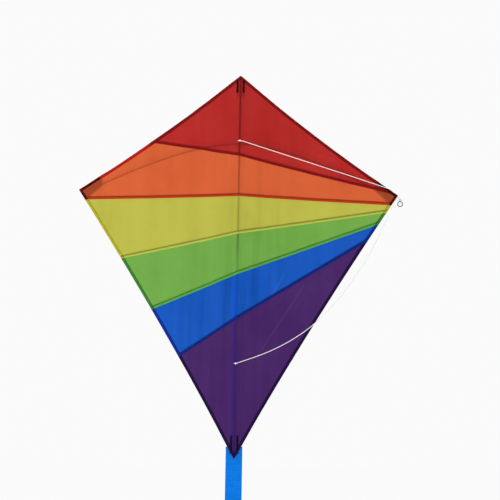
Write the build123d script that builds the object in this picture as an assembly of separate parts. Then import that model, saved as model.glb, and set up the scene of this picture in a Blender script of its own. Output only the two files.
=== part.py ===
from build123d import *
from math import atan2, cos, degrees, hypot, radians, sin, tan
import os

os.makedirs("parts", exist_ok=True)

# Diamond kite, front (bridle side) towards -Y, nose up +Z. Millimetres.
# Origin: on the spine rod's axis where the spreader crosses it.

# Sail, measured flat
spine_length = 760.0  # nose to tail point, along the fold
nose_above_cross = 140.5
tip_below_nose = 225.4
half_width = 331.7  # fold to tip, along one flat wing
dihedral = 12.0  # each wing is swept back this many degrees
cloth = 0.4
fold_y = -3.3  # the cloth's mid-plane passes in front of the spine here
fold_gap = 0.3  # each wing's cloth starts this far from the fold line
seam_gap = 0.05
leading_scallop = 4.5
trailing_scallop = 5.0

# Seams: how far along the left edge and the right edge each one ends (0 to 1)
# The left end of the first seam is on the leading edge, every other end on a trailing edge.
red_seam_left = 0.574
lower_seams = [(0.038, 0.039), (0.267, 0.068), (0.461, 0.113), (0.637, 0.175)]
panel_names = ["red", "orange", "yellow", "green", "blue", "purple"]

# Leading-edge binding
binding_width = 6.0
binding_thick = 1.2
binding_lap = 5.4  # how far the cloth reaches into the folded binding

# Rods
spine_d = 4.0
spreader_d = 3.0
rod_end_gap = 12.0  # spine end to sail corner, room for the cap and stitching
spreader_y = 5.2  # spreader axis behind the spine axis at the crossing
bend_length = 40.0  # the spreader turns back to the wing's angle over this length
inner_arc_to = 125.0  # along the wing, where the bow flattens
inner_arc_angle = 16.0  # slope of the bow there
outer_arc_to = 314.0
outer_arc_angle = 25.5
spreader_start = 2.8  # each half starts this far from the centre, inside the fitting
rod_over_cloth = 2.6  # spreader axis behind the cloth's mid-plane at the tip

# Pockets and caps
wall = 0.8
slack = 0.2
cap_length = 9.0
cap_wall = 0.6
spine_pocket_length = 34.0
nose_tack = (14.5, 22.0)  # distance below the nose, length
tail_tack = (17.0, 28.0)  # distance above the tail point, length
tack_width = 3.0
tack_spacing = 13.0
tack_thick = 0.5
tip_pocket_leading = 55.0
tip_pocket_trailing = 26.0
tip_pocket_depth = 21.0

# Cross fitting
fitting_width = 8.0
fitting_height = 10.0
fitting_back = 10.6

# Bridle. Routes are (along the wing, height, behind the cloth) in the flat right wing.
line_d = 1.5
upper_tie_z = fitting_height / 2 + 1.6
lower_tie_z = -436.0
tie_gap = 0.4
knot_r = 1.8
upper_leg_route = [
    (2.6, 6.4, -3.3),
    (312.0, -71.2, -1.9),
    (317.8, -74.3, 2.2),
    (324.6, -81.6, 3.2),
    (330.6, -87.6, 2.4),
    (334.8, -90.6, 1.2),
]
lower_leg_route = [
    (334.4, -90.8, -1.3),
    (328.9, -91.2, -2.2),
    (325.3, -96.0, -2.5),
    (321.2, -105.2, -2.3),
    (312.6, -124.0, -2.3),
    (295.6, -160.0, -2.6),
    (272.8, -205.2, -3.3),
    (247.6, -246.0, -3.7),
    (220.8, -284.2, -3.7),
    (190.0, -321.4, -3.3),
    (152.6, -358.0, -2.9),
    (111.0, -387.6, -2.6),
    (67.0, -411.0, -2.6),
    (27.0, -426.6, -3.0),
    (3.0, -434.9, -3.3),
]

# Tow ring with a small eye, and the hitch through the eye, at the bridle's tow point
hitch_at = (336.0, -92.4)
hitch_r = 2.25
hitch_hole_r = 1.5
hitch_length = 2.0
eye_bore_r = 1.6
eye_outer_r = 2.8
ring_bore_r = 4.0
ring_outer_r = 6.0
ring_thick = 2.0
ring_below_eye = 7.8  # centre to centre

# Tail
ribbon_width = 32.0
ribbon_thick = 0.6
ribbon_y = 6.2
ribbon_overlap = 24.0  # sewn behind the sail's bottom point
tail_hinge_drop = 3.0  # the ribbon bends this far below the bottom point
ribbon_drop = 92.0  # hanging length below the bend
bundle_length = 104.0
bundle_thick = 15.0
bundle_waist = 9.0
band_width = 7.0
band_thick = 0.8

nose = (0.0, nose_above_cross)
tip = (half_width, nose_above_cross - tip_below_nose)
tail = (0.0, nose_above_cross - spine_length)
wing_turn = {"left": -1, "right": 1}


def between(a, b, share):
    return tuple(p + (q - p) * share for p, q in zip(a, b))


def inward(a, b, offset):
    """The middle of a to b, moved towards the inside of the wing."""
    run = hypot(b[0] - a[0], b[1] - a[1])
    middle = between(a, b, 0.5)
    return (middle[0] + (b[1] - a[1]) / run * offset, middle[1] - (b[0] - a[0]) / run * offset)


def on_wing(shape, side):
    """A shape drawn in the flat right wing (X outwards, Z up, +Y behind) put at the wing's angle."""
    placed = shape if side == "right" else mirror(shape, about=Plane.YZ)
    return Pos(0, fold_y, 0) * Rot(0, 0, wing_turn[side] * dihedral) * placed


def wing_point(u, z, behind=0.0):
    """A point of the flat right wing, in the kite's own frame."""
    angle = radians(dihedral)
    return (u * cos(angle) - behind * sin(angle), fold_y + u * sin(angle) + behind * cos(angle), z)


def plate(points, thick, behind=0.0):
    """A flat polygon in the wing, with its mid-plane this far behind the cloth's."""
    outline = Plane.XZ * make_face(Polyline(*points, close=True))
    return Pos(0, behind, 0) * extrude(outline, thick / 2, both=True)


def half_sail(inset_leading=0.0, thick=cloth):
    """One wing's whole outline, with scalloped edges, as a plate."""
    run = hypot(tip[0], tip[1] - nose[1])
    shift = ((tip[1] - nose[1]) / run * inset_leading, -tip[0] / run * inset_leading)
    top = (nose[0] + shift[0], nose[1] + shift[1])
    end = (tip[0] + shift[0], tip[1] + shift[1])
    lead_mid = inward(top, end, leading_scallop)
    trail_mid = inward(tip, tail, trailing_scallop)
    edges = [Line(tail, top), ThreePointArc(top, lead_mid, end), ThreePointArc(tip, trail_mid, tail)]
    if inset_leading:
        edges.insert(2, Line(end, tip))
    face = Plane.XZ * make_face(edges)
    return extrude(face, thick / 2, both=True)


def seam_lines():
    """Each seam as (left z, right z): its height at the left and right ends of a line wider than the sail."""
    left_tip = (-tip[0], tip[1])
    ends = [(between(nose, left_tip, red_seam_left), tip)]
    for left_share, right_share in lower_seams:
        ends.append((between(left_tip, tail, left_share), between(tip, tail, right_share)))
    return ends


def seam_height(ends, u):
    (x0, z0), (x1, z1) = ends
    return z0 + (z1 - z0) * (u - x0) / (x1 - x0)


def band(index, side):
    """The strip between seam index-1 and seam index, in one wing, drawn in the right wing."""
    sign = wing_turn[side]
    reach = half_width + 20
    seams = seam_lines()
    inner, outer = fold_gap * sign, reach * sign
    top = [nose[1] + 20] * 2
    bottom = [tail[1] - 20] * 2
    if index > 0:
        top = [seam_height(seams[index - 1], u) - seam_gap for u in (inner, outer)]
    if index < len(seams):
        bottom = [seam_height(seams[index], u) + seam_gap for u in (inner, outer)]
    return plate([(fold_gap, top[0]), (reach, top[1]), (reach, bottom[1]), (fold_gap, bottom[0])], 10)


def tie_notches():
    """Where the bridle ties pass through the cloth beside the fold."""
    return [Pos(0, 0, z) * Box(11, 10, 3.4) for z in (upper_tie_z, lower_tie_z)]


def panel(index, side):
    whole = half_sail(binding_width - binding_lap) & band(index, side)
    for notch in tie_notches():
        whole = whole - notch
    return on_wing(whole, side)


def binding(side):
    """Red tape folded over the leading edge: a narrow channel that the cloth's edge lies in."""
    strip = half_sail(0, binding_thick) - half_sail(binding_width, binding_thick + 1)
    slot = half_sail(binding_width - binding_lap - 0.1, cloth + 0.1)
    keep = plate([(0.6, 200), (half_width + 9, 200), (half_width + 9, -200), (0.6, -200)], 10)
    below_tip = Pos(half_width, 0, tip[1] - 60.0) * Box(80, 10, 112)
    solids = ((strip & keep) - slot - below_tip).solids()
    return on_wing(max(solids, key=lambda s: s.volume), side)


def spreader_point(u):
    """Axis of the right spreader half: u along the wing, the bow as two arcs, the sweep as one more."""
    angle = radians(dihedral)
    inner_r = inner_arc_to / sin(radians(inner_arc_angle))
    outer_r = (outer_arc_to - inner_arc_to) / (sin(radians(outer_arc_angle)) - sin(radians(inner_arc_angle)))
    if u <= inner_arc_to:
        z = -(inner_r - (inner_r**2 - u**2) ** 0.5)
    else:
        start = outer_r * sin(radians(inner_arc_angle))
        z = -inner_r * (1 - cos(radians(inner_arc_angle)))
        z -= outer_r * cos(radians(inner_arc_angle)) - (outer_r**2 - (start + u - inner_arc_to) ** 2) ** 0.5
    sweep_r = bend_length / sin(angle)
    if u <= bend_length:
        return (u, spreader_y + sweep_r - (sweep_r**2 - u**2) ** 0.5, z)
    swept = spreader_y + sweep_r * (1 - cos(angle))
    tip_x, tip_y, _ = wing_point(outer_arc_to, 0, rod_over_cloth)
    share = (u - bend_length) / (outer_arc_to - bend_length)
    return (bend_length + (tip_x - bend_length) * share, swept + (tip_y - swept) * share, z)


def smooth_path(points, share=0.45):
    """Straight runs joined by tangent arcs, each as large as its two runs allow. Also returns the radii."""
    radii = []
    for a, b, c in zip(points, points[1:], points[2:]):
        first, second = Vector(*b) - Vector(*a), Vector(*c) - Vector(*b)
        half_turn = radians(first.get_angle(second)) / 2
        radii.append(share * min(first.length, second.length) / tan(half_turn))
    return FilletPolyline(*points, radius=radii), radii


def rod_along(points, diameter):
    path, radii = smooth_path(points)
    disc = Plane(origin=path @ 0, z_dir=path % 0) * Circle(diameter / 2)
    return sweep(disc, path=path), path, radii


def spreader_points():
    steps = [spreader_start, 16, 32, 56, 88, 124, 164, 206, 250, 288, outer_arc_to]
    return [spreader_point(u) for u in steps]


def tip_direction():
    a, b = spreader_points()[-2:]
    return (Vector(*b) - Vector(*a)).normalized()


def both_sides(shape, side):
    """A shape made in the kite's frame on the right, mirrored for the left."""
    return shape if side == "right" else mirror(shape, about=Plane.YZ)


def spreader(side):
    rod, _, _ = rod_along(spreader_points(), spreader_d)
    return both_sides(rod, side)


def cap_over(end, direction, rod_d):
    """Soft closed cap pushed over a rod's end."""
    outer = rod_d / 2 + cap_wall
    start = Plane(origin=end - direction * (cap_length - 2), z_dir=direction)
    shell = start * Cylinder(outer, cap_length, align=(Align.CENTER, Align.CENTER, Align.MIN))
    shell = fillet(shell.edges().sort_by_distance(tuple(end + direction * 2))[0], 0.6)
    bore = start * Cylinder(rod_d / 2 + 0.05, cap_length - 2, align=(Align.CENTER, Align.CENTER, Align.MIN))
    return shell - bore


def spreader_cap(side):
    return both_sides(cap_over(Vector(*spreader_points()[-1]), tip_direction(), spreader_d), side)


def tip_pocket(side):
    """Cloth pocket sewn behind a wing tip: flat flange with a sleeve for the rod's capped end."""
    run_lead = hypot(tip[0], tip[1] - nose[1])
    run_trail = hypot(tip[0], tip[1] - tail[1])
    on_lead = between(tip, nose, tip_pocket_leading / run_lead)
    on_trail = between(tip, tail, tip_pocket_trailing / run_trail)
    inner_end = (on_lead[0] - 2, on_lead[1] - tip_pocket_depth)
    corners = [between(tip, (0, tip[1]), 0.006), on_lead, inner_end, on_trail]
    flange = plate(corners, wall, cloth / 2 + slack + wall / 2 + 0.3)
    outline = plate(corners, 30)
    end, direction = Vector(*spreader_points()[-1]), tip_direction()
    cap_r = spreader_d / 2 + cap_wall
    sleeve_start = Plane(origin=end - direction * 40, z_dir=direction)
    low = (Align.CENTER, Align.CENTER, Align.MIN)
    sleeve = sleeve_start * Cylinder(cap_r + slack + wall, 40 + 2.5 + slack + wall, align=low)
    room = sleeve_start * Cylinder(cap_r + slack, 40 + 2.5 + slack, align=low)
    behind = Pos(half_width / 2, 20 + cloth / 2 + slack, 0) * Box(half_width * 2, 40, 400)
    body = (on_wing(flange, "right") + (sleeve & on_wing(outline & behind, "right"))) - room
    solids = body.solids()
    return both_sides(max(solids, key=lambda s: s.volume), side)


def tack(u, z, length, angle):
    """A dense block of stitching on the front of the cloth."""
    block = Box(tack_width, tack_thick, length)
    block = fillet(block.edges().filter_by(Axis.Y), tack_width * 0.3)
    front = -(cloth / 2 + tack_thick / 2 + 0.05)
    return Pos(u, front, z) * Rot(0, angle, 0) * block


def spine_tack(side, centre_z, length):
    return on_wing(tack(tack_spacing / 2, centre_z, length, 0), side)


def tip_tacks(side):
    """Bar tacks over the leading-edge binding and along the trailing hem, next to the tip."""
    blocks = []
    for corner, length, start, offset, lift in (
        (nose, 48.0, 2.0, 4.1, (binding_thick - cloth) / 2),
        (tail, 19.0, 7.5, 2.2, 0.0),
    ):
        run = hypot(corner[0] - tip[0], corner[1] - tip[1])
        along = ((corner[0] - tip[0]) / run, (corner[1] - tip[1]) / run)
        turn = -1 if corner is tail else 1
        inner = (-along[1] * turn, along[0] * turn)
        reach = start + length / 2
        u = tip[0] + along[0] * reach + inner[0] * offset
        z = tip[1] + along[1] * reach + inner[1] * offset
        blocks.append(Pos(0, -lift, 0) * tack(u, z, length, degrees(atan2(along[0], along[1]))))
    return on_wing(Compound(children=[block.solid() for block in blocks]), side)


def spine_rod():
    top, bottom = nose[1] - rod_end_gap, tail[1] + rod_end_gap
    return Pos(0, 0, (top + bottom) / 2) * Cylinder(spine_d / 2, top - bottom)


def spine_cap(up):
    end = Vector(0, 0, nose[1] - rod_end_gap if up > 0 else tail[1] + rod_end_gap)
    return cap_over(end, Vector(0, 0, up), spine_d)


def spine_pocket(up):
    """Sleeve behind the spine's end. Its open side faces the cloth, which closes it."""
    inside = spine_d / 2 + cap_wall + slack
    outside = inside + wall
    closed = nose[1] - rod_end_gap + 2 + slack if up > 0 else tail[1] + rod_end_gap - 2 - slack
    length = spine_pocket_length
    middle = closed + up * (wall - length / 2)
    front = fold_y + cloth / 2 + outside * tan(radians(dihedral * 2.3)) + slack
    body = Pos(0, (outside + front) / 2, middle) * Box(outside * 2, outside - front, length)
    body = fillet(body.edges().filter_by(Axis.Z).sort_by(Axis.Y)[-2:], 2.0)
    room = Pos(0, (inside + front - 2) / 2, middle - up * wall) * Box(inside * 2, inside - front + 2, length)
    return body - room


def cross_fitting():
    """Moulded clip: snaps on the spine from behind, with an oblong hole across it for the spreader."""
    front = fold_y + cloth / 2 + fitting_width / 2 * tan(radians(dihedral * 2.3)) + slack
    depth = fitting_back - front
    body = Pos(0, (front + fitting_back) / 2, 0) * Box(fitting_width, depth, fitting_height)
    body = fillet(body.edges().filter_by(Axis.Z).sort_by(Axis.Y)[-2:], 2.2)
    body = fillet(body.edges().group_by(Axis.Y)[-1], 0.8)
    grip = Cylinder(spine_d / 2 + 0.05, fitting_height + 2)
    mouth = Pos(0, front, 0) * Box(3.0, 3.0, fitting_height + 2)
    slot_height, slot_depth = spreader_d + 0.6, spreader_d + 2.6
    slot = SlotOverall(slot_depth, slot_height)
    hole = extrude(Plane.YZ * Pos(spreader_y + 1.0, 0) * slot, fitting_width, both=True)
    return body - grip - mouth - hole


def bridle_tie(z):
    """Line tied round the spine and out through the cloth, with a round knot in front."""
    r = line_d / 2
    back = spine_d / 2 + tie_gap + r
    front = fold_y - cloth / 2 - tie_gap - r - 0.4
    outline = Pos(0, (back + front) / 2, z) * RectangleRounded(back * 2, back - front, back - 0.05)
    path = outline.wire()
    ring = sweep(Plane(origin=path @ 0, z_dir=path % 0) * Circle(r), path=path)
    return ring + Pos(0, front - 0.5, z) * Sphere(knot_r)


def bridle_leg(name, route):
    """One leg of the bridle: straight runs joined by arcs as large as the runs allow."""
    tube, path, radii = rod_along([wing_point(*point) for point in route], line_d)
    expected = path.length * 3.14159 * line_d**2 / 4
    print(name, "length", round(path.length, 1), "volume ratio", round(tube.volume / expected, 4))
    print("  radii", [round(r, 1) for r in radii])
    return tube


def hitch_centre():
    return wing_point(*hitch_at)


def ring_hitch():
    """The hitch of line round the ring's rim, as a short collar that the rim passes through."""
    collar = Cylinder(hitch_r, hitch_length) - Cylinder(hitch_hole_r, hitch_length + 1)
    return Pos(*hitch_centre()) * Rot(0, 90, 0) * collar


def tow_ring():
    """Flat ring for the flying line's clip, with an eye that hangs from the hitch."""
    eye_drop = (eye_bore_r + eye_outer_r) / 2
    outline = Circle(ring_outer_r) + Pos(0, ring_below_eye) * Circle(eye_outer_r)
    outline = outline - Circle(ring_bore_r) - Pos(0, ring_below_eye) * Circle(eye_bore_r)
    x, y, z = hitch_centre()
    flat = extrude(Plane.XZ * outline, ring_thick / 2, both=True)
    return Pos(x, y, z - eye_drop - ring_below_eye) * flat


hinge_z = tail[1] - tail_hinge_drop
bundle_top = hinge_z - ribbon_drop


def ribbon_piece(top, bottom):
    return Pos(0, ribbon_y, (top + bottom) / 2) * Box(ribbon_width, ribbon_thick, top - bottom)


def ribbon_bundle():
    """The rest of the tail folded back and forth, waisted where the band holds it."""
    end, waist = bundle_thick / 2, bundle_waist / 2
    top, middle, bottom = 0.0, -bundle_length / 2, -bundle_length
    right = ThreePointArc((end, top - 3), (waist, middle), (end, bottom + 3))
    left = ThreePointArc((-end, bottom + 3), (-waist, middle), (-end, top - 3))
    edges = [
        right,
        Line((end, bottom + 3), (end - 3, bottom)),
        Line((end - 3, bottom), (-end + 3, bottom)),
        Line((-end + 3, bottom), (-end, bottom + 3)),
        left,
        Line((-end, top - 3), (-end + 3, top)),
        Line((-end + 3, top), (end - 3, top)),
        Line((end - 3, top), (end, top - 3)),
    ]
    profile = Plane.YZ * make_face(edges)
    return Pos(0, ribbon_y, bundle_top) * extrude(profile, ribbon_width / 2, both=True)


def bundle_band():
    """Elastic band round the bundle's waist."""
    inner = (ribbon_width + 0.2, bundle_waist + 1.2)
    outer = (inner[0] + 2 * band_thick, inner[1] + 2 * band_thick)
    ring = RectangleRounded(*outer, 1.6) - RectangleRounded(*inner, 0.8)
    return Pos(0, ribbon_y, bundle_top - bundle_length / 2) * extrude(ring, band_width / 2, both=True)


parts = {}
for side in ("left", "right"):
    for index, colour in enumerate(panel_names):
        parts[f"{colour}_panel_{side}"] = panel(index, side)
    parts[f"leading_edge_binding_{side}"] = binding(side)
    parts[f"spreader_{side}"] = spreader(side)
    parts[f"spreader_cap_{side}"] = spreader_cap(side)
    parts[f"tip_pocket_{side}"] = tip_pocket(side)
    parts[f"tip_bar_tacks_{side}"] = tip_tacks(side)
    parts[f"nose_bar_tack_{side}"] = spine_tack(side, nose[1] - nose_tack[0] - nose_tack[1] / 2, nose_tack[1])
    parts[f"tail_bar_tack_{side}"] = spine_tack(side, tail[1] + tail_tack[0] + tail_tack[1] / 2, tail_tack[1])
parts["spine_rod"] = spine_rod()
parts["spine_top_cap"] = spine_cap(1)
parts["spine_bottom_cap"] = spine_cap(-1)
parts["nose_pocket"] = spine_pocket(1)
parts["tail_pocket"] = spine_pocket(-1)
parts["cross_fitting"] = cross_fitting()
parts["bridle_tie_upper"] = bridle_tie(upper_tie_z)
parts["bridle_tie_lower"] = bridle_tie(lower_tie_z)
parts["bridle_upper_leg"] = bridle_leg("upper leg", upper_leg_route)
parts["bridle_lower_leg"] = bridle_leg("lower leg", lower_leg_route)
parts["tow_ring_hitch"] = ring_hitch()
parts["tow_ring"] = tow_ring()
parts["tail_ribbon_sewn_end"] = ribbon_piece(tail[1] + ribbon_overlap, hinge_z + 0.4)
parts["tail_ribbon"] = ribbon_piece(hinge_z - 0.4, bundle_top + 0.1)
parts["tail_ribbon_bundle"] = ribbon_bundle()
parts["bundle_band"] = bundle_band()
for name, shape in parts.items():
    export_step(shape, f"parts/{name}.step")
print(len(parts), "nodes")
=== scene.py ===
from math import cos, hypot, pi, radians, sin, tan
import bmesh
import bpy
import numpy as np
from mathutils import Matrix, Vector


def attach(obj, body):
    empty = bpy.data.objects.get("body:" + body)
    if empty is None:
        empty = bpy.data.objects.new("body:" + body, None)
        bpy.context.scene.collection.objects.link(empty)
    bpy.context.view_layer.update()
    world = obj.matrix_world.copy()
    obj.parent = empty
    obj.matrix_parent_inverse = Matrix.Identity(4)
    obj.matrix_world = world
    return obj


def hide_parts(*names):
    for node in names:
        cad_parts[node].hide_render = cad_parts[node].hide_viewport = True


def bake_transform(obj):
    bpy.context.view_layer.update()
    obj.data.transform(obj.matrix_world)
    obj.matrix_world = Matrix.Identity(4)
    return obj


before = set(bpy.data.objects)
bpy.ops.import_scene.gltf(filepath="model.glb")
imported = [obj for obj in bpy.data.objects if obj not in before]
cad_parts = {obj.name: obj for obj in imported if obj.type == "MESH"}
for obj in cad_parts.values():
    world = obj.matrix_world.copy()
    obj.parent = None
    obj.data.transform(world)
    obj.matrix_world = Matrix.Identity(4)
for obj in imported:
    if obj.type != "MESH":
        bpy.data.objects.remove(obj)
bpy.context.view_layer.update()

# The kite laid out flat, in metres: u runs from the fold to a wing tip, z up the spine
sail = {
    "noseHeight": 0.1405,
    "spineLength": 0.76,
    "tipDrop": 0.2254,
    "halfWidth": 0.3317,
    "sweep": radians(12),  # each wing leans back by this
    "foldY": -0.0033,
    "foldRound": 0.0022,  # the cloth rounds the spine over about this width
    "leadingScallop": 0.0045,
    "trailingScallop": 0.005,
    "firstSeamLeft": 0.574,  # share of the left leading edge
    "lowerSeams": [(0.038, 0.039), (0.267, 0.068), (0.461, 0.113), (0.637, 0.175)],
    "panels": ["red", "orange", "yellow", "green", "blue", "purple"],
    "bendTo": 0.05,  # a width of cloth beside the spine
    "cell": 0.0035,
}
nose = (0.0, sail["noseHeight"])
tip = (sail["halfWidth"], nose[1] - sail["tipDrop"])
tail = (0.0, nose[1] - sail["spineLength"])
leadingRun, trailingRun = hypot(tip[0], tip[1] - nose[1]), hypot(tip[0], tip[1] - tail[1])
signOf = {"left": -1, "right": 1}


def between(a, b, share):
    return tuple(p + (q - p) * share for p, q in zip(a, b))


def edgePoint(a, b, share, scallop):
    # a point of a scalloped edge from a to b; the sail lies to the right of that direction
    run = hypot(b[0] - a[0], b[1] - a[1])
    inward = 4 * scallop * share * (1 - share)
    u, z = between(a, b, share)
    return (u + (b[1] - a[1]) / run * inward, z - (b[0] - a[0]) / run * inward)


shares = np.linspace(0, 1, 241)
leadingLine = np.array([edgePoint(nose, tip, s, sail["leadingScallop"]) for s in shares])
trailingLine = np.array([edgePoint(tip, tail, s, sail["trailingScallop"]) for s in shares])


def leadingAt(u):
    return np.interp(u, leadingLine[:, 0], leadingLine[:, 1])


def trailingAt(u):
    return np.interp(u, trailingLine[::-1, 0], trailingLine[::-1, 1])


def leadingReach(z):
    return np.interp(z, leadingLine[::-1, 1], leadingLine[::-1, 0])


def trailingReach(z):
    return np.interp(z, trailingLine[::-1, 1], trailingLine[::-1, 0])


def seamEnds():
    leftTip = (-tip[0], tip[1])
    ends = [(between(nose, leftTip, sail["firstSeamLeft"]), tip)]
    for leftShare, rightShare in sail["lowerSeams"]:
        ends.append((between(leftTip, tail, leftShare), between(tip, tail, rightShare)))
    return ends


seams = seamEnds()


def seamAt(index, side, u):
    (x0, z0), (x1, z1) = seams[index]
    return z0 + (z1 - z0) * (signOf[side] * np.asarray(u) - x0) / (x1 - x0)


def lineDistance(points, line):
    # how far each (u, z) point is from a line of points
    a, b = line[:-1], line[1:]
    run = b - a
    offset = points[:, None, :] - a[None]
    share = np.clip((offset * run).sum(2) / (run * run).sum(1), 0, 1)
    gap = offset - share[..., None] * run
    return np.sqrt((gap * gap).sum(2).min(1))


# Spreader rod: a bow of two arcs, drawn against the sail
spreader = {
    "diameter": 0.003,
    "behindSpine": 0.0052,
    "bend": 0.04,
    "innerTo": 0.125,
    "innerAngle": radians(16.0),
    "outerTo": 0.314,
    "outerAngle": radians(25.5),
    "overCloth": 0.0026,
}


def spreaderDrop(u):
    # how far the bow has come down at u
    s = spreader
    innerR = s["innerTo"] / sin(s["innerAngle"])
    outerR = (s["outerTo"] - s["innerTo"]) / (sin(s["outerAngle"]) - sin(s["innerAngle"]))
    inner = np.minimum(u, s["innerTo"])
    drop = innerR - np.sqrt(innerR**2 - inner**2)
    start = outerR * sin(s["innerAngle"])
    outer = start + np.clip(u - s["innerTo"], 0, outerR * 0.9)
    return drop + outerR * cos(s["innerAngle"]) - np.sqrt(outerR**2 - outer**2)


print("layout ready")


camera = {"target": (0.02425, 0.0, -0.2126), "distance": 2.5, "azimuth": -0.588, "elevation": -8.827,
          "roll": 0.952, "lens": 91.5}


def linked(name, data):
    made = bpy.data.objects.new(name, data)
    bpy.context.collection.objects.link(made)
    return made


def makeCamera():
    az, el, roll = (radians(camera[k]) for k in ("azimuth", "elevation", "roll"))
    target = Vector(camera["target"])
    back = Vector((sin(az) * cos(el), -cos(az) * cos(el), sin(el)))
    right = (-back).cross(Vector((0, 0, 1))).normalized()
    up = right.cross(-back)
    tiltedRight = right * cos(roll) + up * sin(roll)
    tiltedUp = up * cos(roll) - right * sin(roll)
    data = bpy.data.cameras.new("camera")
    data.lens = camera["lens"]
    data.sensor_width = 36
    made = linked("camera", data)
    turn = Matrix((tiltedRight, tiltedUp, back)).transposed().to_4x4()
    made.matrix_world = Matrix.Translation(target + back * camera["distance"]) @ turn
    bpy.context.scene.camera = made


makeCamera()


def newMaterial(name):
    made = bpy.data.materials.new(name)
    made.use_nodes = True
    tree = made.node_tree
    tree.nodes.clear()
    return made, tree


def node(tree, kind, **settings):
    # a node; settings that name a socket go to the socket, and a socket value is linked
    made = tree.nodes.new(kind)
    for key, value in settings.items():
        if hasattr(made, key):
            setattr(made, key, value)
            continue
        label = key.replace("_", " ")
        socket = made.inputs[int(key[1:])] if key[1:].isdigit() and key[0] == "i" else made.inputs[label]
        if isinstance(value, bpy.types.NodeSocket):
            tree.links.new(value, socket)
        elif socket.type == "VECTOR":
            socket.default_value = value[:3]
        else:
            socket.default_value = value
    return made


def maths(tree, operation, a, b=0.0, clamp=False):
    return node(tree, "ShaderNodeMath", operation=operation, use_clamp=clamp, i0=a, i1=b).outputs[0]


def times(tree, a, b, clamp=False):
    return maths(tree, "MULTIPLY", a, b, clamp)


def noise(tree, place, scale, detail, stretch=None):
    if stretch:
        place = node(tree, "ShaderNodeMapping", i0=place, i3=stretch).outputs[0]
    return node(tree, "ShaderNodeTexNoise", Vector=place, Scale=scale, Detail=detail).outputs[0]


def fade(tree, value, start, end, low=0.0, high=1.0):
    ramp = node(tree, "ShaderNodeMapRange", clamp=True, i0=value, i1=start, i2=end, i3=low, i4=high)
    return ramp.outputs[0]


def mixColour(tree, factor, a, b, blend="MIX"):
    made = node(tree, "ShaderNodeMix", data_type="RGBA", blend_type=blend)
    for index, value in ((0, factor), (6, a), (7, b)):
        if isinstance(value, bpy.types.NodeSocket):
            tree.links.new(value, made.inputs[index])
        else:
            made.inputs[index].default_value = value
    return made.outputs[2]


def srgb(r, g, b):
    linear = [((c / 255 + 0.055) / 1.055) ** 2.4 if c > 10 else c / 255 / 12.92 for c in (r, g, b)]
    return (*linear, 1.0)


def tint(colour, factor, lift=0.0):
    return tuple(min(1.0, c * factor + lift) for c in colour[:3]) + (1.0,)


def attribute(tree, name):
    return node(tree, "ShaderNodeAttribute", attribute_name=name).outputs["Fac"]


def within(tree, value, limit, soft):
    # 1 where value is below limit, fading over soft
    return fade(tree, value, limit - soft, limit + soft, 1.0, 0.0)


def closeTo(tree, value, width):
    # a soft bump, 1 where value is 0 and fading to nothing at width
    return maths(tree, "SUBTRACT", 1.0, maths(tree, "DIVIDE", maths(tree, "ABSOLUTE", value), width), True)


def weaveHeight(tree, uv, thread, grid):
    # plain weave of fine threads, with a heavier thread every grid
    split = node(tree, "ShaderNodeSeparateXYZ", i0=uv)
    height = None
    for axis in (0, 1):
        across = times(tree, split.outputs[axis], 2 * pi / thread)
        fine = times(tree, maths(tree, "SINE", across), 0.25)
        cell = maths(tree, "PINGPONG", split.outputs[axis], grid / 2)
        heavy = within(tree, cell, grid * 0.05, grid * 0.03)
        both = maths(tree, "ADD", fine, heavy)
        height = both if height is None else maths(tree, "ADD", height, both)
    return height


clothLook = {
    "thread": 0.00045,
    "grid": 0.005,
    "weaveBump": 0.00012,
    "wrinkleBump": 0.0012,
    "roughness": 0.5,
    "shine": 0.12,
    "seeThrough": 0.3,
    "shadeStreaksTo": 0.15,  # the painted shade streaks along the spine end this far from it
    # spineWidth and rodWidth: widths of the painted rod shadows; spineWidth is also the width of the painted
    # ridge highlight
    "spineWidth": 0.0028,
    "rodWidth": 0.0021,
    "rodShadowStrength": 0.5,
    "sheenLeftBy": 0.0045,
    "sheenWidth": 0.0085,
    "sheenStrength": 0.62,
    "ridgeFoot": -0.67,
    "ridgeLean": 0.059,
    "ridgeHighlightStrength": 0.5,
    "highlightWidth": 0.0024,
    "highlightStrength": 0.42,
    "pocketShadeStrength": 0.45,
    "bandSoft": 0.0003,
}

# spineShadow sets the strength of the spine's painted shadow, streaks the strength of the painted fold shade
# near the spine
panelLooks = {
    "red": {"face": (182, 34, 31), "band": (150, 16, 18), "bandWidth": 0.0046, "hem": (150, 16, 20),
            "spineShadow": 0.85, "streaks": 0.3},
    "orange": {"face": (218, 96, 49), "band": (222, 66, 30), "bandWidth": 0.0052, "hem": (176, 40, 20),
               "spineShadow": 0.55, "streaks": 0.3},
    "yellow": {"face": (190, 188, 72), "band": (218, 226, 92), "bandWidth": 0.0050, "hem": (206, 200, 44),
               "spineShadow": 0.34, "streaks": 0.3},
    "green": {"face": (114, 172, 72), "band": (104, 204, 74), "bandWidth": 0.0046, "hem": (70, 150, 50),
              "spineShadow": 0.6, "streaks": 0.35},
    "blue": {"face": (4, 86, 192), "band": (6, 44, 146), "bandWidth": 0.0046, "hem": (8, 52, 170),
             "spineShadow": 0.08, "streaks": 0.9},
    "purple": {"face": (70, 30, 101), "band": (44, 14, 70), "bandWidth": 0.0, "hem": (40, 6, 76),
               "spineShadow": 0.06, "streaks": 0.45},
}


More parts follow.
